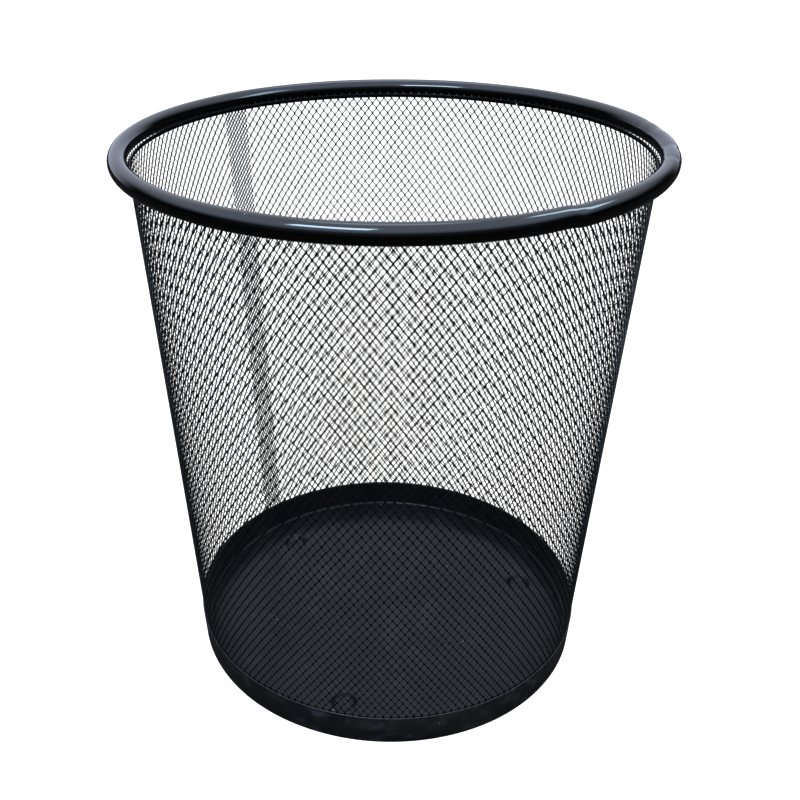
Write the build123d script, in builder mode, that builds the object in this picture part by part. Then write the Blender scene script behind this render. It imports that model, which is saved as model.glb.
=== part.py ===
from build123d import *
from math import atan, cos, hypot, radians, sin, sqrt
import os

# Round office wastebasket of black painted steel, open at the top.
#
# A flat sheet of expanded metal is rolled into a cone and lapped on itself to make the wall. Its top
# edge lies against a tube hoop and is held there by a narrow strip inside. Its bottom edge is pinched
# between an outer band and the upstanding flange of a pressed floor pan, which stands on three feet.
#
# Millimetres, +Z up. The origin is on the ground under the middle of the basket: z = 0 is the
# underside of the feet, and the basket's axis is Z.

os.makedirs("parts", exist_ok=True)

# ---- Driving dimensions ---------------------------------------------------------------------

# whole basket
rim_diameter = 265.0  # over the outside of the hoop
total_height = 286.0  # ground to the top of the hoop

# the wall's middle surface, a cone given by its radius at two heights
hoop_level = 277.0  # the underside of the hoop
band_level = 18.5  # the top edge of the base band
wall_radius_at_hoop = 123.6
wall_radius_at_band = 108.45

# hoop, bent from tube
tube_diameter = 9.0
tube_wall = 0.6
tube_flats = 12  # round the outside of the tube's section
bore_flats = 6  # round its bore

# expanded metal
mesh_thickness = 0.5
mesh_foot = 2.2  # height of its bottom edge
mesh_top = 279.0  # height of its top edge, beside the hoop
open_area = 0.70  # share of the sheet that is window
columns = 20  # diamonds round the wall
window_slenderness = 1.37  # a diamond's height over its width, half way up
lap_azimuth = 134.4  # where the sheet's two ends overlap, in degrees from +X
lap_foot = 19.0  # the second layer of the lap stops short of the band and of the hoop
lap_top = 276.5

# strips and pan, all of one gauge
sheet = 0.5
seat_gap = 0.02  # paint-thick clearance between the wall and what holds it
clamp_height = 2.2
band_foot = 1.0  # height of the base band's bottom edge
floor_underside = 2.4
pan_corner = 1.5  # outside of the pan's folded corner
feet = 3
feet_radius = 85.0
feet_azimuth = 15.0  # of the first foot, in degrees from +X
foot_mouth_radius = 7.5
foot_pad_radius = 5.0

# ---- Derived values -------------------------------------------------------------------------

hoop_radius = (rim_diameter - tube_diameter) / 2
hoop_height = total_height - tube_diameter / 2
wall_slope = (wall_radius_at_hoop - wall_radius_at_band) / (hoop_level - band_level)
panel_angle = 360 / columns / 2  # a diamond is two flat panels wide
half_panel = radians(panel_angle / 2)


def wall_radius(height):
    """Radius of the wall's middle surface, measured to the folds between its panels."""
    return wall_radius_at_band + wall_slope * (height - band_level)


def inside_wall(height):
    """Largest radius that clears the flats of the wall on the inside."""
    return wall_radius(height) * cos(half_panel) - mesh_thickness / 2 - seat_gap


def outside_wall(height):
    """Smallest radius that clears the folds of the wall on the outside."""
    return wall_radius(height) + mesh_thickness / 2 / cos(half_panel) + seat_gap


def hoop_of_sheet(low, high, radius_at, thickness):
    """A tapered strip from low to high; a positive thickness lies outside radius_at."""
    with BuildPart() as strip:
        with BuildSketch(Plane.XZ):
            with BuildLine():
                Polyline(
                    (radius_at(low), low),
                    (radius_at(high), high),
                    (radius_at(high) + thickness, high),
                    (radius_at(low) + thickness, low),
                    close=True,
                )
            make_face()
        revolve(axis=Axis.Z)
    return strip.part


# ---- Hoop: a ring of round tube, its ends butted --------------------------------------------

with BuildPart() as rim_tube:
    with BuildSketch(Plane.XZ):
        with Locations((hoop_radius, hoop_height)):
            RegularPolygon(tube_diameter / 2, tube_flats)
            RegularPolygon(tube_diameter / 2 - tube_wall, bore_flats, mode=Mode.SUBTRACT)
    revolve(axis=Axis.Z)

# ---- Clamp strip: holds the wall's top edge against the hoop from inside --------------------

clamp_foot = mesh_top - clamp_height
mouth_radius = inside_wall(clamp_foot) - sheet

with BuildPart() as clamp_strip:
    with BuildSketch(Plane.XY.offset(clamp_foot)):
        Circle(mouth_radius + sheet)
        Circle(mouth_radius, mode=Mode.SUBTRACT)
    extrude(amount=clamp_height)

# ---- Expanded metal wall --------------------------------------------------------------------

# One flat panel carries one zigzag strand. The next panel carries its mirror image, and where two
# zigzags meet on a fold they make a bond, with a diamond window above and below it.

lean = atan(wall_slope * cos(half_panel))
strand_overrun = 0.3  # past the folds, trimmed off again


def panel_plane(height, standoff):
    """The panel's own plane at azimuth 0: x across the panel, y up its slope, z outwards."""
    apothem = wall_radius(height) * cos(half_panel) + standoff / cos(lean)
    return Plane(
        origin=(apothem, 0, height), x_dir=(0, 1, 0), z_dir=(cos(lean), 0, -sin(lean))
    )


def zigzag_panel(low, high, hand, standoff=0.0):
    """One panel's strand from low to high. hand is 1 if it starts at the panel's -x side, or -1."""
    middle = (low + high) / 2
    diamond_width = 4 * wall_radius(middle) * sin(half_panel)
    rows = round((high - low) / (diamond_width * window_slenderness / 2))
    side = hypot(diamond_width, diamond_width * window_slenderness) / 2
    opening = diamond_width**2 * window_slenderness / 2 / side
    strand = opening * (1 - sqrt(open_area))

    bond = strand * 1.6
    for _ in range(3):  # the bond's height and the row's height depend on each other
        rise = (high - low - bond) / rows
        bond = strand * hypot(1, rise / (diamond_width / 2))

    left, right = [], []  # the strand's outline, upwards along its -x side and its +x side
    for row in range(rows + 1):
        height = low + bond / 2 + row * rise
        half_width = wall_radius(height) * sin(half_panel)
        steepness = rise / (2 * half_width)
        notch = half_width - bond / 2 / steepness
        reach = half_width + strand_overrun
        spread = bond / 2 - steepness * strand_overrun
        along = (height - low) / cos(lean)
        if row % 2 == 0:
            left += [(-reach, along - spread), (-reach, along + spread)]
            right += [(-notch, along)]
        else:
            left += [(notch, along)]
            right += [(reach, along - spread), (reach, along + spread)]
    outline = [(hand * x, y) for x, y in left + right[::-1]]

    with BuildPart() as panel:
        with BuildSketch(panel_plane(low, standoff)):
            with BuildLine():
                Polyline(*outline, close=True)
            make_face()
        extrude(amount=mesh_thickness / 2, both=True)
        for edge in (-1, 1):
            turn = radians(edge * panel_angle / 2)
            fold = Plane(origin=(0, 0, 0), z_dir=(edge * -sin(turn), edge * cos(turn), 0))
            split(bisect_by=fold, keep=Keep.BOTTOM)
    return panel.part


fold_beside_panel = Plane(
    origin=(0, 0, 0), z_dir=(-sin(half_panel), cos(half_panel), 0)
)
strand = zigzag_panel(mesh_foot, mesh_top, 1)
lap_strand = zigzag_panel(lap_foot, lap_top, -1, mesh_thickness)

with BuildPart() as mesh_wall:
    with PolarLocations(0, columns, start_angle=lap_azimuth):
        add([strand, mirror(strand, about=fold_beside_panel)])
    with PolarLocations(0, 1, start_angle=lap_azimuth):
        add(lap_strand)

# ---- Base band: the strip outside the wall's foot -------------------------------------------

with BuildPart() as base_band:
    add(hoop_of_sheet(band_foot, band_level, outside_wall, sheet))

# ---- Floor pan: pressed dish with an upstanding flange and three feet -----------------------

floor_top = floor_underside + sheet
inner_corner = pan_corner - sheet * (2 - sqrt(2))  # keeps the gauge across the fold

with BuildPart() as floor_pan:
    with BuildSketch(Plane.XZ):
        with BuildLine():
            Polyline(
                (0, floor_underside),
                (inside_wall(floor_underside) - pan_corner, floor_underside),
                (inside_wall(floor_underside + pan_corner), floor_underside + pan_corner),
                (inside_wall(band_level), band_level),
                (inside_wall(band_level) - sheet, band_level),
                (inside_wall(floor_top) - sheet, floor_top + inner_corner),
                (inside_wall(floor_top) - sheet - inner_corner, floor_top),
                (0, floor_top),
                close=True,
            )
        make_face()
    revolve(axis=Axis.Z)
    with PolarLocations(feet_radius, feet, start_angle=feet_azimuth):
        # the foot's pressed-down cup, then the hollow above it
        with Locations((0, 0, floor_underside / 2)):
            Cone(foot_pad_radius, foot_mouth_radius, floor_underside)
        with Locations((0, 0, sheet + floor_underside / 2)):
            Cone(
                foot_pad_radius - sheet / 2,
                foot_mouth_radius - sheet / 2,
                floor_underside,
                mode=Mode.SUBTRACT,
            )

# ---- Output ---------------------------------------------------------------------------------

pieces = {
    "rim_tube": rim_tube,
    "clamp_strip": clamp_strip,
    "mesh_wall": mesh_wall,
    "base_band": base_band,
    "floor_pan": floor_pan,
}
for name, piece in pieces.items():
    piece.part.label = name
    export_step(piece.part, f"parts/{name}.step")
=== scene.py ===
from math import atan2, ceil, cos, pi, radians, sin, sqrt

import bpy
import numpy as np
from mathutils import Matrix, Vector


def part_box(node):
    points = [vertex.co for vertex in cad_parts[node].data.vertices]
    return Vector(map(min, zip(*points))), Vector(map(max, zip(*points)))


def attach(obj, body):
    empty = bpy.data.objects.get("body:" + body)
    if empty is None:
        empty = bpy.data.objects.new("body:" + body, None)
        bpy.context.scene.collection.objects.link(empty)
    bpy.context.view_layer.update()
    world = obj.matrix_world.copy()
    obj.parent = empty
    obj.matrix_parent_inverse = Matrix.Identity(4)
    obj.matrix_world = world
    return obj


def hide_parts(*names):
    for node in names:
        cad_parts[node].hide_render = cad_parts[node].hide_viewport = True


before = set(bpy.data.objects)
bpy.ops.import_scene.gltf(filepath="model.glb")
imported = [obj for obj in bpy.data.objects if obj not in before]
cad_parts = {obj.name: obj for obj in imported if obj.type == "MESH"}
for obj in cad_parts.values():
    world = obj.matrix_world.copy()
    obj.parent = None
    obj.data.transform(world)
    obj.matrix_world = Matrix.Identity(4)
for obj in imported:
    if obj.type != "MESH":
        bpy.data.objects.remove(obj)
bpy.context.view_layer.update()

# Round office wastebasket of black enamelled steel: a tube hoop, a strip inside it, a cone of expanded
# metal, a band round its foot and a pressed pan. Metres, +Z up, the basket's axis on Z.

MM = 0.001

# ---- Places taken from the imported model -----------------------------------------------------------

rim_low, rim_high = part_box("rim_tube")
strip_low, strip_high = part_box("clamp_strip")
band_low, band_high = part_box("base_band")
pan_low, pan_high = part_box("floor_pan")

TUBE_RADIUS = (rim_high.z - rim_low.z) / 2
HOOP_RADIUS = rim_high.x - TUBE_RADIUS
HOOP_HEIGHT = (rim_high.z + rim_low.z) / 2

# ---- Sizes ----------------------------------------------------------------------------------------

SHEET = 0.5 * MM  # gauge of the band, the pan and the strip
SEAT = 0.06 * MM  # clearance either side of the expanded metal where it is held

# expanded metal
WIRE_GAUGE = 0.16 * MM
TWIST = 0.17 * MM  # how far a strand's upper edge stands out, and its lower edge in
WALL_DEPTH = WIRE_GAUGE + 2 * TWIST
COLUMNS = 173.55  # bonds round one turn of the sheet
LAP_COLUMNS = 2.7  # width of the overlap, in columns
LAP_AZIMUTH = radians(134.4)  # the sheet's ends overlap here
STRAND_SPAN = 3.6 * MM  # from bond to bond along a strand, the same at every height
STRAND_WIDTH = 0.51 * MM
BOND_HALF_WIDTH = 0.53 * MM
BOND_HALF_HEIGHT = 0.62 * MM
CROTCH = 0.07 * MM  # how far the windows' corners are rounded
WOBBLE = 0.035 * MM  # standard deviation of a bond's place
SWELL = 0.05  # standard deviation of a bond's size, as a share of it
SECTORS = 6  # mesh pieces that the one sheet is drawn as

# joints and feet
HOOP_JOINT = radians(-56.8)  # the hoop's ends meet here
STRIP_JOINT = radians(55.2)  # the strip's ends meet here
STRIP_GAP = 0.7 * MM  # between the strip's ends
FOOT_RADIUS = 85 * MM
FOOT_AZIMUTHS = [radians(15 + 120 * k) for k in range(3)]
FOOT_MOUTH = 7.5 * MM
FOOT_PAD = 4.6 * MM
PAN_UNDERSIDE = pan_low.z + 2.4 * MM
PAN_CORNER = 2.2 * MM  # outside radius of the pan's fold
PAN_WARP = 0.06 * MM

wall_radius_foot = band_high.x - SHEET - SEAT - WALL_DEPTH / 2
wall_radius_top = strip_high.x + SEAT + WALL_DEPTH / 2
WALL_SLOPE = (wall_radius_top - wall_radius_foot) / (strip_low.z - band_high.z)
LEAN = cos(atan2(WALL_SLOPE, 1))


def wall_radius(height):
    """Radius of the middle of the expanded metal."""
    return wall_radius_foot + WALL_SLOPE * (height - band_high.z)


# ---- Node helpers ---------------------------------------------------------------------------------


class Nodes:
    """Adds nodes to a tree and links them."""

    def __init__(self, tree):
        self.tree = tree

    def node(self, kind, inputs=None, **settings):
        made = self.tree.nodes.new(kind)
        for key, value in settings.items():
            setattr(made, key, value)
        for key, value in (inputs or {}).items():
            self.feed(made.inputs[key], value)
        return made

    def feed(self, socket, value):
        """Link a socket to value, or set it if value is a constant."""
        if isinstance(value, bpy.types.NodeSocket):
            self.tree.links.new(value, socket)
        else:
            socket.default_value = value

    def ramp(self, value, low, high, start=0.0, end=1.0):
        """value's stretch from low to high, spread smoothly over start to end."""
        made = self.node(
            "ShaderNodeMapRange",
            {0: value, 1: low, 2: high, 3: start, 4: end},
            interpolation_type="SMOOTHSTEP",
        )
        return made.outputs[0]

    def math(self, operation, a, b=0.0):
        return self.node("ShaderNodeMath", {0: a, 1: b}, operation=operation).outputs[0]

    def dot(self, a, b):
        made = self.node("ShaderNodeVectorMath", {0: a, 1: b}, operation="DOT_PRODUCT")
        return made.outputs["Value"]

    def mix(self, share, a, b, blend="MIX"):
        """Colour a where share is 0, and b, or b added to a, where it is 1."""
        made = self.node(
            "ShaderNodeMix", {"Factor": share, 6: a, 7: b}, data_type="RGBA", blend_type=blend
        )
        return made.outputs[2]

    def seen(self):
        """1 for what the camera sees directly, and 0 for reflections and light."""
        return self.node("ShaderNodeLightPath").outputs["Is Camera Ray"]


class Paint(Nodes):
    """A Principled material put together node by node, in its piece's own coordinates."""

    def __init__(self, name):
        self.material = bpy.data.materials.new(name)
        self.material.use_nodes = True
        super().__init__(self.material.node_tree)
        self.shader = self.tree.nodes["Principled BSDF"]
        self.place = self.node("ShaderNodeTexCoord").outputs["Object"]

    def noise(self, size, detail=3.0, roughness=0.5, stretch=(1, 1, 1)):
        """Noise from 0 to 1 whose grain is about size metres."""
        place = self.node("ShaderNodeMapping", {"Vector": self.place, "Scale": stretch}).outputs[0]
        made = self.node(
            "ShaderNodeTexNoise",
            {"Vector": place, "Scale": 1 / size, "Detail": detail, "Roughness": roughness},
        )
        return made.outputs["Fac"]

    def specks(self, spacing, size, share):
        """1 on scattered round grains and 0 between them; share of the cells hold one."""
        cells = self.node("ShaderNodeTexVoronoi", {"Vector": self.place, "Scale": 1 / spacing})
        picked = self.node("ShaderNodeSeparateColor", {0: cells.outputs["Color"]})
        chosen = self.math("LESS_THAN", picked.outputs[0], share)
        reach = self.ramp(picked.outputs[1], 0, 1, size / spacing * 0.4, size / spacing)
        near = self.math("LESS_THAN", cells.outputs["Distance"], reach)
        return self.math("MULTIPLY", chosen, near)

    def bump(self, height, distance, under=None):
        """A normal raised by distance where height is 1, on top of the normal under."""
        inputs = {"Height": height, "Distance": distance, "Strength": 1.0}
        if under is not None:
            inputs["Normal"] = under
        return self.node("ShaderNodeBump", inputs).outputs[0]


def grey(level, tint=(1, 1, 1)):
    return (level * tint[0], level * tint[1], level * tint[2], 1)


# ---- Materials ------------------------------------------------------------------------------------

COOL = (0.86, 0.94, 1.15)
WARM = (1.2, 1.0, 0.78)

DUST_FILM = grey(0.16, WARM)
FINGER_MARK = grey(0.075, COOL)
DUST_GRAIN = grey(0.32, WARM)
MATT = 0.5  # roughness that marks and grains add


def enamel(name, base, rough, peel, dust, specks, smudge=0.0, specular=0.5):
    """Black stoved enamel: orange peel, uneven gloss, dust film, settled grains and finger marks.

    peel is in millimetres, specks is the share of cells that hold a grain, and dust and smudge are
    how far the film and the marks cover the colour.
    """
    paint = Paint(name)
    tone = paint.ramp(paint.noise(38 * MM, 4), 0.35, 0.68)
    colour = paint.mix(tone, grey(base, COOL), grey(base * 1.6))
    film = paint.ramp(paint.noise(9 * MM, 6, 0.62), 0.46, 0.8, 0, dust)
    colour = paint.mix(film, colour, DUST_FILM)
    roughness = paint.ramp(paint.noise(22 * MM, 5), 0.3, 0.7, rough * 0.8, rough * 1.25)
    if smudge:
        wiped = paint.noise(16 * MM, 5, 0.66, (1, 1, 1.9))
        marks = paint.ramp(wiped, 0.56, 0.74, 0, smudge)
        colour = paint.mix(marks, colour, FINGER_MARK)
        roughness = paint.math("ADD", roughness, paint.math("MULTIPLY", marks, MATT))
    grains = paint.specks(5.5 * MM, 0.34 * MM, specks)
    colour = paint.mix(grains, colour, DUST_GRAIN)
    roughness = paint.math("ADD", roughness, paint.math("MULTIPLY", grains, MATT))
    skin = paint.bump(paint.noise(1.6 * MM, 2), peel * MM)
    skin = paint.bump(grains, 0.12 * MM, skin)
    paint.feed(paint.shader.inputs["Base Color"], colour)
    paint.feed(paint.shader.inputs["Roughness"], roughness)
    paint.feed(paint.shader.inputs["Normal"], skin)
    paint.shader.inputs["Specular IOR Level"].default_value = specular
    return paint.material


hoop_enamel = enamel("hoop_enamel", 0.0006, 0.085, peel=0.01, dust=0.004, specks=0.12)
strip_enamel = enamel(
    "strip_enamel", 0.0006, 0.3, peel=0.02, dust=0.01, specks=0.03, specular=0.3
)
wire_enamel = enamel(
    "wire_enamel", 0.0015, 0.32, peel=0.03, dust=0.06, specks=0.0, specular=0.4
)
band_enamel = enamel(
    "band_enamel", 0.01, 0.3, peel=0.02, dust=0.2, specks=0.08, smudge=0.6, specular=0.7
)
pan_enamel = enamel(
    "pan_enamel", 0.006, 0.24, peel=0.015, dust=0.04, specks=0.24, smudge=0.1, specular=0.2
)


# ---- Mesh helpers ---------------------------------------------------------------------------------


def add_piece(name, vertices, faces, material, node, smooth=True):
    """A mesh object from vertices and faces, riding on the body and standing for a CAD node."""
    mesh = bpy.data.meshes.new(name)
    mesh.from_pydata(np.asarray(vertices).tolist(), [], [list(f) for f in faces])
    mesh.materials.append(material)
    mesh.polygons.foreach_set("use_smooth", [smooth] * len(mesh.polygons))
    mesh.update()
    piece = bpy.data.objects.new(name, mesh)
    bpy.context.scene.collection.objects.link(piece)
    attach(piece, "root")
    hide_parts(node)


def grid_faces(rows, columns, close_rows):
    """Quads between neighbours of a rows x columns grid whose columns close on themselves."""
    i, j = np.meshgrid(
        np.arange(rows if close_rows else rows - 1), np.arange(columns), indexing="ij"
    )
    i, j = i.ravel(), j.ravel()
    i2, j2 = (i + 1) % rows, (j + 1) % columns
    return np.stack(
        [i * columns + j, i * columns + j2, i2 * columns + j2, i2 * columns + j], 1
    )


def cylinder_points(radius, azimuth, height):
    return np.stack([radius * np.cos(azimuth), radius * np.sin(azimuth), height], -1)


def arc(centre, radius, start, end, steps):
    """Points on an arc of the (r, z) plane; angles in degrees."""
    angles = np.radians(np.linspace(start, end, steps + 1))
    return np.stack(
        [centre[0] + radius * np.cos(angles), centre[1] + radius * np.sin(angles)], 1
    )


def away_from(azimuth, centre):
    """Signed angle from centre, between -pi and pi."""
    return (azimuth - centre + pi) % (2 * pi) - pi


def azimuths(count, centres=(), reach=0.0, step=0.0):
    """Angles round the axis, with a finer stretch of the given reach and step at each centre."""
    coarse = np.linspace(-pi, pi, count, endpoint=False)
    fine = []
    for centre in centres:
        coarse = coarse[np.abs(away_from(coarse, centre)) > reach]
        fine.append(away_from(np.arange(centre - reach, centre + reach, step), 0))
    return np.sort(np.concatenate([coarse, *fine]))


def hump(distance, width):
    """1 at distance 0, falling smoothly to 0 a few widths away."""
    return np.exp(-((distance / width) ** 2))


def ease(t):
    """t from 0 to 1 with a level start and end."""
    return t * t * (3 - 2 * t)


# ---- Hoop -----------------------------------------------------------------------------------------

WELD_DEPTH = 0.14 * MM
WELD_WIDTH = 2.2 * MM
JOINT_STEP = 0.45 * MM  # how far the two ends miss each other
TUBE_WAVES = 0.025 * MM  # unevenness left by the bending rolls
# each dent's azimuth in degrees, and its width and depth in mm
DENTS = ((6, 5, 0.35), (12, 3, 0.2), (-8, 4, 0.22), (-17, 3, 0.15))
DENT_SIDE = radians(70)  # round the tube's section, from the outside towards the top


def build_hoop():
    """A bent tube, its two ends butted, welded and painted over, with the dents of use."""
    turns = azimuths(720, [HOOP_JOINT], radians(2.5), radians(0.08))
    around = np.linspace(0, 2 * pi, 56, endpoint=False)
    theta, phi = np.meshgrid(turns, around, indexing="ij")
    off_joint = away_from(theta, HOOP_JOINT) * HOOP_RADIUS
    section = np.full_like(theta, TUBE_RADIUS)
    section -= WELD_DEPTH * hump(off_joint, WELD_WIDTH)
    section -= TUBE_WAVES * (np.sin(5 * theta + 1.1) + np.sin(13 * theta))
    step = JOINT_STEP * np.tanh(off_joint / (2.6 * MM)) * hump(off_joint, 15 * MM)
    centre = HOOP_RADIUS - 0.12 * MM + step + 0.1 * MM * np.sin(2 * theta + 0.6)
    rise = HOOP_HEIGHT - 0.05 * MM - 0.5 * step + 0.04 * MM * np.sin(3 * theta)
    for place, width, depth in DENTS:
        dent = hump(away_from(theta, radians(place)) * HOOP_RADIUS, width * MM)
        section -= depth * MM * dent * (0.5 + 0.5 * np.cos(phi - DENT_SIDE))
    radius = centre + section * np.cos(phi)
    height = rise + section * np.sin(phi)
    points = cylinder_points(radius, theta, height).reshape(-1, 3)
    faces = grid_faces(len(turns), len(around), True)
    add_piece("hoop", points, faces, hoop_enamel, "rim_tube")


# ---- Strips of sheet ------------------------------------------------------------------------------


def strip_outline(inner, outer, low, high, edge):
    """Section of a flat strip, its edges rounded by edge; inner and outer give radii by height."""
    corners = [
        ((outer(low) - edge, low + edge), -90, 0),
        ((outer(high) - edge, high - edge), 0, 90),
        ((inner(high) + edge, high - edge), 90, 180),
        ((inner(low) + edge, low + edge), 180, 270),
    ]
    return np.concatenate([arc(centre, edge, start, end, 3) for centre, start, end in corners])


def sweep_round(outline, turns, closed):
    """An outline of (r, z) carried round the axis; an open sweep is closed by end caps."""
    count = len(outline)
    theta = np.repeat(turns[:, None], count, 1)
    radius = np.repeat(outline[None, :, 0], len(turns), 0)
    height = np.repeat(outline[None, :, 1], len(turns), 0)
    faces = grid_faces(len(turns), count, closed).tolist()
    if not closed:
        last = (len(turns) - 1) * count
        faces.append(list(range(count))[::-1])
        faces.append(list(range(last, last + count)))
    return theta, radius, height, faces


def build_strip():
    """The inner strip that clips the wall's top edge; its ends stop a little short of each other."""
    inner = strip_high.x - SHEET
    top = strip_high.z - 0.1 * MM
    outline = strip_outline(
        lambda z: inner, lambda z: inner + SHEET, strip_low.z, top, 0.16 * MM
    )
    gap = STRIP_GAP / 2 / inner
    turns = np.linspace(STRIP_JOINT + gap, STRIP_JOINT + 2 * pi - gap, 1080)
    theta, radius, height, faces = sweep_round(outline, turns, False)
    off_joint = np.abs(away_from(theta, STRIP_JOINT)) * inner

    # the bonds behind it are pressed through, mostly at its lower edge
    pressed = np.sin(theta * COLUMNS)
    low_edge = np.clip((top - height) / (top - strip_low.z), 0, 1)
    height = height + 0.06 * MM * pressed * low_edge
    radius = radius + 0.015 * MM * pressed - 0.1 * MM * hump(off_joint, 4 * MM)
    points = cylinder_points(radius, theta, height).reshape(-1, 3)
    add_piece("strip", points, faces, strip_enamel, "clamp_strip")


def build_band():
    """The outer strip round the wall's foot, its edges broken."""

    def outer(height):
        return band_high.x + WALL_SLOPE * (height - band_high.z)

    outline = strip_outline(
        lambda z: outer(z) - SHEET, outer, band_low.z, band_high.z, 0.2 * MM
    )
    theta, radius, height, faces = sweep_round(outline, azimuths(480), True)
    radius = radius + 0.05 * MM * np.sin(7 * theta + 0.4) * np.sin(theta * 3)
    points = cylinder_points(radius, theta, height).reshape(-1, 3)
    add_piece("band", points, faces, band_enamel, "base_band")


# ---- Floor pan ------------------------------------------------------------------------------------


def pan_outline():
    """Section of the pan, from the middle of its top face round its lip to the middle underneath."""
    flange_top = pan_high.z

    def outer(height):
        return wall_radius(height) - WALL_DEPTH / 2 - SEAT

    floor_edge = outer(PAN_UNDERSIDE) - PAN_CORNER
    fold = (floor_edge, PAN_UNDERSIDE + PAN_CORNER)
    stations = MM * np.concatenate(
        [
            np.linspace(0, 70, 9)[1:],
            np.arange(76, 94.1, 0.5),  # close together where the feet are
            np.linspace(96, floor_edge / MM - 0.5, 4),
        ]
    )
    top_face = np.stack([stations, np.full(len(stations), PAN_UNDERSIDE + SHEET)], 1)
    inner_corner = arc(fold, PAN_CORNER - SHEET, -90, 0, 7)
    lip = arc((outer(flange_top) - SHEET / 2, flange_top - SHEET / 2), SHEET / 2, 180, 0, 6)
    outer_corner = arc(fold, PAN_CORNER, 0, -90, 7)
    under_face = top_face[::-1] - [0, SHEET]
    outline = np.concatenate([top_face, inner_corner, lip, outer_corner, under_face])
    return outline, floor_edge


def build_pan():
    """A pressed dish: flat floor, rounded corner, upstanding flange, and three feet pushed down."""
    outline, floor_edge = pan_outline()
    turns = azimuths(300, FOOT_AZIMUTHS, radians(6), radians(0.3))
    theta, radius, height, faces = sweep_round(outline[::-1], turns, True)
    x, y = radius * np.cos(theta), radius * np.sin(theta)

    pressed = np.zeros_like(x)
    for azimuth in FOOT_AZIMUTHS:
        off = np.hypot(x - FOOT_RADIUS * cos(azimuth), y - FOOT_RADIUS * sin(azimuth))
        pressed += ease(np.clip((FOOT_MOUTH - off) / (FOOT_MOUTH - FOOT_PAD), 0, 1))
    slack = np.clip((floor_edge - radius) / (8 * MM), 0, 1) * (1 - pressed)
    height = height - (PAN_UNDERSIDE - pan_low.z) * pressed
    height = height + PAN_WARP * slack * np.sin(2 * theta + 1) * (radius / floor_edge) ** 2
    points = np.stack([x, y, height], -1).reshape(-1, 3)

    # in place of the faces across the middle, close the under face and the top face with fans
    count, total = len(outline), len(points)
    faces = [f for f in faces if abs(f[0] % count - f[1] % count) == 1]
    for k in range(len(turns)):
        a, b = k * count, (k + 1) % len(turns) * count
        faces.append([a, b, total])
        faces.append([b + count - 1, a + count - 1, total + 1])
    points = np.concatenate([points, [(0, 0, PAN_UNDERSIDE), (0, 0, PAN_UNDERSIDE + SHEET)]])
    add_piece("pan", points, faces, pan_enamel, "floor_pan")


# ---- Expanded metal -------------------------------------------------------------------------------

# A bond is where two strands touch. Its outline has twelve corners, anticlockwise from below the
# right notch: three at each of the right, top, left and bottom notches, the middle one in the notch
# itself. A strand leaves through each mouth, from the corner with the mouth's number to the next.
CORNERS = 12
NOTCHES = (1, 4, 7, 10)
UP_RIGHT, UP_LEFT, DOWN_LEFT, DOWN_RIGHT = 2, 5, 8, 11
CORNER_TWIST = np.array([1, 0, -1, 1, 1, 1, -1, 0, 1, -1, -1, -1])  # 1 stands out, -1 in


def bond_heights():
    """Heights of the rows of bonds, from the foot up."""
    heights = [strip_high.z + 0.7 * MM - BOND_HALF_HEIGHT]
    while heights[-1] > pan_low.z + 4.5 * MM:
        half_pitch = pi * wall_radius(heights[-1]) / COLUMNS
        heights.append(heights[-1] - LEAN * sqrt(STRAND_SPAN**2 - half_pitch**2))
    return np.array(heights[::-1])


def bond_outline(half_pitch, rise):
    """Corners of a bond across and up the sheet, for strands that reach half_pitch over and rise up."""
    side, tip = BOND_HALF_WIDTH + CROTCH * 0.6, BOND_HALF_HEIGHT + CROTCH
    flat = BOND_HALF_HEIGHT * 0.6
    for _ in range(4):  # the flat's length sets the strand's slope, and the slope the flat
        slope = np.arctan2(rise - tip - flat, half_pitch - side - CROTCH)
        flat = tip - (STRAND_WIDTH - np.sin(slope) * (side - CROTCH)) / np.cos(slope)
        flat = np.clip(flat, 0.05 * MM, BOND_HALF_HEIGHT)
    none = np.zeros_like(half_pitch)
    x = [none + side, none + BOND_HALF_WIDTH, none + side, none + CROTCH, none, none - CROTCH]
    y = [none - flat, none, none + flat, none + tip, none + BOND_HALF_HEIGHT, none + tip]
    return np.stack(x + [-v for v in x], -1), np.stack(y + [-v for v in y], -1)


def sheet_points(heights, row, column):
    """Points of every bond, in the order row, column, corner, face; the outer face comes first."""
    place = column + row % 2 / 2  # along the sheet, in columns
    pitch = 2 * pi / COLUMNS
    azimuth = LAP_AZIMUTH + (place - LAP_COLUMNS / 2) * pitch
    height = heights[row]
    half_pitch = pi * wall_radius(height) / COLUMNS
    x, y = bond_outline(half_pitch, np.gradient(heights)[row] / LEAN)

    chance = np.random.default_rng(11)
    wobble = chance.normal(0, WOBBLE, (2, *row.shape, 1))
    swell = 1 + chance.normal(0, SWELL, (*row.shape, 1))
    x, y = x * swell + wobble[0], y * swell + wobble[1]

    # the last columns climb outside the first ones
    into_lap = np.clip((place - (COLUMNS - 1.6)) / 2.0, 0, 1)[..., None]
    layer = WALL_DEPTH * 0.7 * ease(into_lap)
    z = height[..., None] + y * LEAN
    middle = wall_radius(z) + layer + TWIST * CORNER_TWIST
    theta = azimuth[..., None] + x / wall_radius(height)[..., None]
    outside = cylinder_points(middle + WIRE_GAUGE / 2, theta, z)
    inside = cylinder_points(middle - WIRE_GAUGE / 2, theta, z)
    return np.stack([outside, inside], 3).reshape(-1, 3)


def bonds_above(row, column):
    """Numbers of the bonds up right and up left of each bond, or -1 past the sheet's edge."""
    rows, columns = row.shape
    right = column + row % 2
    has_right = (row + 1 < rows) & (right < columns)
    has_left = (row + 1 < rows) & (right - 1 >= 0)
    up_right = np.where(has_right, (row + 1) * columns + right, -1)
    up_left = np.where(has_left, (row + 1) * columns + right - 1, -1)
    return up_right.ravel(), up_left.ravel()


def point_number(bond, corner, face):
    return (bond * CORNERS + corner % CORNERS) * 2 + face


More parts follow.
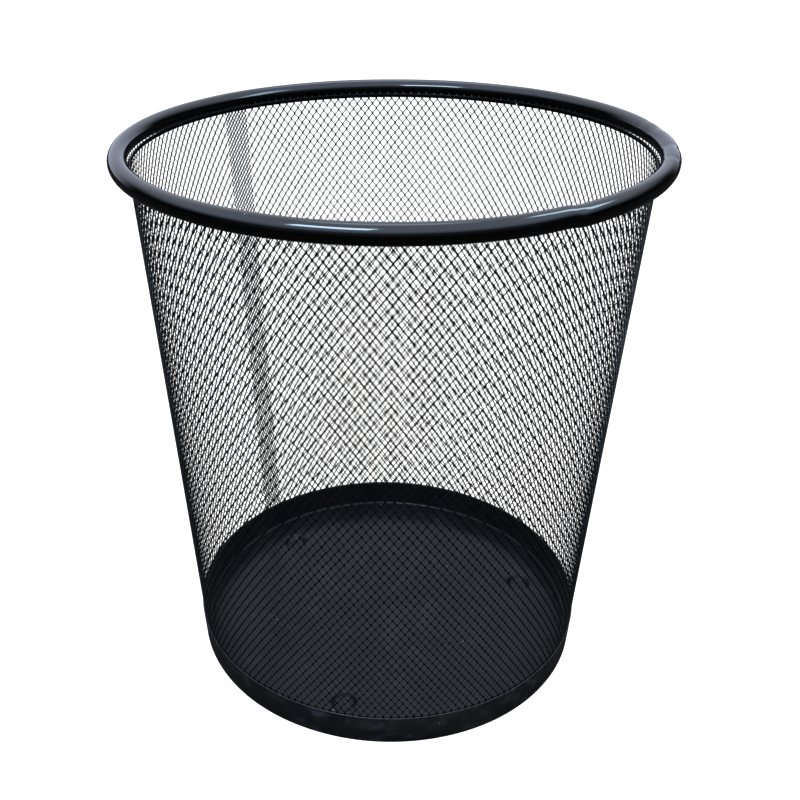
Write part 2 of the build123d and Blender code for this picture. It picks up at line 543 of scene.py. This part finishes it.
def plate(*corners):
    """The outer and the inner face over (bond, corner) points, anticlockwise from outside."""
    outside = np.stack([point_number(bond, k, 0) for bond, k in corners], 1)
    inside = np.stack([point_number(bond, k, 1) for bond, k in corners[::-1]], 1)
    return [outside, inside]


def cut_edge(bond, k, other, m):
    """The cut from corner k of bond to corner m of other, facing out of the metal."""
    numbers = [
        point_number(bond, k, 0),
        point_number(bond, k, 1),
        point_number(other, m, 1),
        point_number(other, m, 0),
    ]
    return [np.stack(numbers, 1)]


def strand_owners(home, strands):
    """For each mouth, the sector whose strand is in it at each bond, or -1 where there is none."""
    owners = {mouth: np.full(len(home), -1) for mouth in (UP_RIGHT, UP_LEFT, DOWN_LEFT, DOWN_RIGHT)}
    for mouth, far_mouth, far in strands:
        some = far >= 0
        owners[mouth][some] = home[some]
        owners[far_mouth][far[some]] = home[some]
    return owners


def sector_faces(number, home, strands, owners):
    """Faces of a sector: its bonds, the strands that rise from them, and the cuts to its neighbours."""
    mine = np.flatnonzero(home == number)
    faces = plate(*[(mine, k) for k in NOTCHES])
    for k in NOTCHES:
        faces += plate(*[(mine, k + step) for step in range(4)])
        faces += cut_edge(mine, k - 1, mine, k) + cut_edge(mine, k, mine, k + 1)
    for mouth, owner in owners.items():
        bare = mine[owner[mine] != number]
        faces += cut_edge(bare, mouth, bare, mouth + 1)
    for mouth, far_mouth, far in strands:
        near = mine[far[mine] >= 0]
        there = far[near]
        faces += plate(
            (near, mouth), (there, far_mouth + 1), (there, far_mouth), (near, mouth + 1)
        )
        faces += cut_edge(near, mouth, there, far_mouth + 1)
        faces += cut_edge(there, far_mouth, near, mouth + 1)
        gone = there[home[there] != number]
        faces += cut_edge(gone, far_mouth + 1, gone, far_mouth)
    return np.concatenate(faces)


def build_wall():
    """The whole sheet as one lattice of bonds and strands, cut into sectors."""
    heights = bond_heights()
    rows, columns = len(heights), ceil(COLUMNS + LAP_COLUMNS)
    row, column = np.meshgrid(np.arange(rows), np.arange(columns), indexing="ij")
    points = sheet_points(heights, row, column)
    home = np.minimum(column * SECTORS // columns, SECTORS - 1).ravel()
    up_right, up_left = bonds_above(row, column)
    strands = [(UP_RIGHT, DOWN_LEFT, up_right), (UP_LEFT, DOWN_RIGHT, up_left)]
    owners = strand_owners(home, strands)
    for number in range(SECTORS):
        faces = sector_faces(number, home, strands, owners)
        used, faces = np.unique(faces, return_inverse=True)
        add_piece(
            f"wall_{number + 1}",
            points[used],
            faces.reshape(-1, 4),
            wire_enamel,
            "mesh_wall",
            smooth=False,
        )


# ---- Floor, light and camera ----------------------------------------------------------------------

VIEW_WHITE = 1.4  # what the camera sees round the basket, over white
VIEW_GAMMA = 0.88
FLOOR_RINGS = (0.0, 0.2, 0.5, 1.5, 6.0)
FLOOR_SPOKES = 96

CAMERA_PLACE = (0, -0.48334, 0.40663)
CAMERA_PITCH = radians(28.98602653)  # downwards
CAMERA_YAW = radians(-2.69681494)  # from north towards east
CAMERA_ROLL = radians(-0.67483542)
CAMERA_LENS = 45.778  # mm, on a 36 mm sensor
CAMERA_SHIFT = (0.0671, 0.0080)


def floor_mesh():
    """A flat disc of rings of faces."""
    points = [(0, 0, 0)]
    faces = []
    for ring, radius in enumerate(FLOOR_RINGS[1:]):
        for k in range(FLOOR_SPOKES):
            turn = 2 * pi * k / FLOOR_SPOKES
            points.append((radius * cos(turn), radius * sin(turn), 0))
            here = 1 + ring * FLOOR_SPOKES + k
            there = 1 + ring * FLOOR_SPOKES + (k + 1) % FLOOR_SPOKES
            if ring == 0:
                faces.append((0, here, there))
            else:
                faces.append((here - FLOOR_SPOKES, here, there, there - FLOOR_SPOKES))
    mesh = bpy.data.meshes.new("floor")
    mesh.from_pydata(points, [], faces)
    return mesh


def build_stage():
    """A wide floor, pale to the camera and nearly black in the enamel's reflections."""
    mesh = floor_mesh()
    floor = bpy.data.objects.new("floor", mesh)
    bpy.context.scene.collection.objects.link(floor)

    paint = Paint("pale_floor")
    seen = paint.seen()
    tone = paint.ramp(paint.noise(0.4, 2), 0.3, 0.7)
    pale = paint.mix(tone, grey(VIEW_WHITE - 0.05), grey(VIEW_WHITE))
    mirrored = paint.mix(tone, grey(0.022, WARM), grey(0.028, WARM))
    paint.feed(paint.shader.inputs["Base Color"], paint.mix(seen, mirrored, grey(0.0)))
    paint.shader.inputs["Roughness"].default_value = 0.9
    paint.shader.inputs["Specular IOR Level"].default_value = 0.0
    paint.feed(paint.shader.inputs["Emission Color"], pale)
    paint.feed(paint.shader.inputs["Emission Strength"], seen)
    mesh.materials.append(paint.material)


def build_world():
    """White to the camera; as light, a bright ceiling over a horizon that is brightest behind."""
    world = bpy.data.worlds.new("studio")
    bpy.context.scene.world = world
    world.use_nodes = True
    world.node_tree.nodes.clear()
    sky = Nodes(world.node_tree)

    direction = sky.node("ShaderNodeTexCoord").outputs["Generated"]
    up = sky.dot(direction, (0, 0, 1))
    north = sky.dot(direction, (0, 1, 0))
    south = sky.ramp(north, -0.2, -0.8)
    behind = sky.ramp(sky.dot(direction, (-0.17, 0.98, 0)), 0.55, 0.85)
    front_and_sides = sky.mix(south, grey(0.02), grey(0.2, COOL))
    horizon = sky.mix(behind, front_and_sides, grey(1.15, COOL))
    ceiling = sky.mix(sky.ramp(north, -0.1, 0.6), (2.0, 2.4, 3.1, 1), (1.55, 1.7, 1.95, 1))
    colour = sky.mix(sky.ramp(up, 0.22, 0.72), horizon, ceiling)

    # a soft round patch high up behind the basket
    tilt = radians(62)
    off_patch = sky.dot(direction, (0, cos(tilt), sin(tilt)))
    patch = sky.ramp(off_patch, cos(radians(15)), cos(radians(8)))
    colour = sky.mix(patch, colour, (2.2, 2.5, 3.0, 1), blend="ADD")

    colour = sky.mix(sky.seen(), colour, grey(VIEW_WHITE))
    shade = sky.node("ShaderNodeBackground", {"Color": colour, "Strength": 1.0})
    sky.feed(sky.node("ShaderNodeOutputWorld").inputs["Surface"], shade.outputs[0])


def build_lamp(name, place, size, power, colour):
    """A rectangular lamp of so many watts, shining at the middle of the basket's mouth."""
    light = bpy.data.lights.new(name, "AREA")
    light.shape = "RECTANGLE"
    light.size, light.size_y = size
    light.energy = power
    light.color = colour
    lamp = bpy.data.objects.new(name, light)
    bpy.context.scene.collection.objects.link(lamp)
    lamp.location = place
    towards = Vector((0, 0, HOOP_HEIGHT)) - lamp.location
    lamp.rotation_euler = towards.to_track_quat("-Z", "Y").to_euler()
    lamp.visible_camera = False


def build_camera():
    """The camera stands south of the basket, looking down into it."""
    pitch, yaw, roll = CAMERA_PITCH, CAMERA_YAW, CAMERA_ROLL
    forward = Vector((sin(yaw) * cos(pitch), cos(yaw) * cos(pitch), -sin(pitch)))
    right = Vector((cos(yaw), -sin(yaw), 0))
    up = right.cross(forward)
    across = cos(roll) * right + sin(roll) * up
    upright = cos(roll) * up - sin(roll) * right
    data = bpy.data.cameras.new("camera")
    data.lens = CAMERA_LENS
    data.sensor_width = 36
    data.shift_x, data.shift_y = CAMERA_SHIFT
    data.clip_start, data.clip_end = 0.01, 20
    camera = bpy.data.objects.new("camera", data)
    bpy.context.scene.collection.objects.link(camera)
    turn = Matrix((across, upright, -forward)).transposed()
    camera.matrix_world = Matrix.Translation(CAMERA_PLACE) @ turn.to_4x4()
    bpy.context.scene.camera = camera


# ---- The scene ------------------------------------------------------------------------------------

build_hoop()
build_strip()
build_wall()
build_band()
build_pan()

build_stage()
build_world()
build_lamp("front_lamp", (-0.13, -0.285, 0.63), (0.2, 0.11), 1.672, (0.62, 0.82, 1.0))
build_lamp("side_lamp", (0.25, 0.0, 0.54), (0.09, 0.15), 0.432, (0.6, 0.84, 1.0))
build_camera()
bpy.context.scene.view_settings.view_transform = "Standard"
bpy.context.scene.view_settings.gamma = VIEW_GAMMA
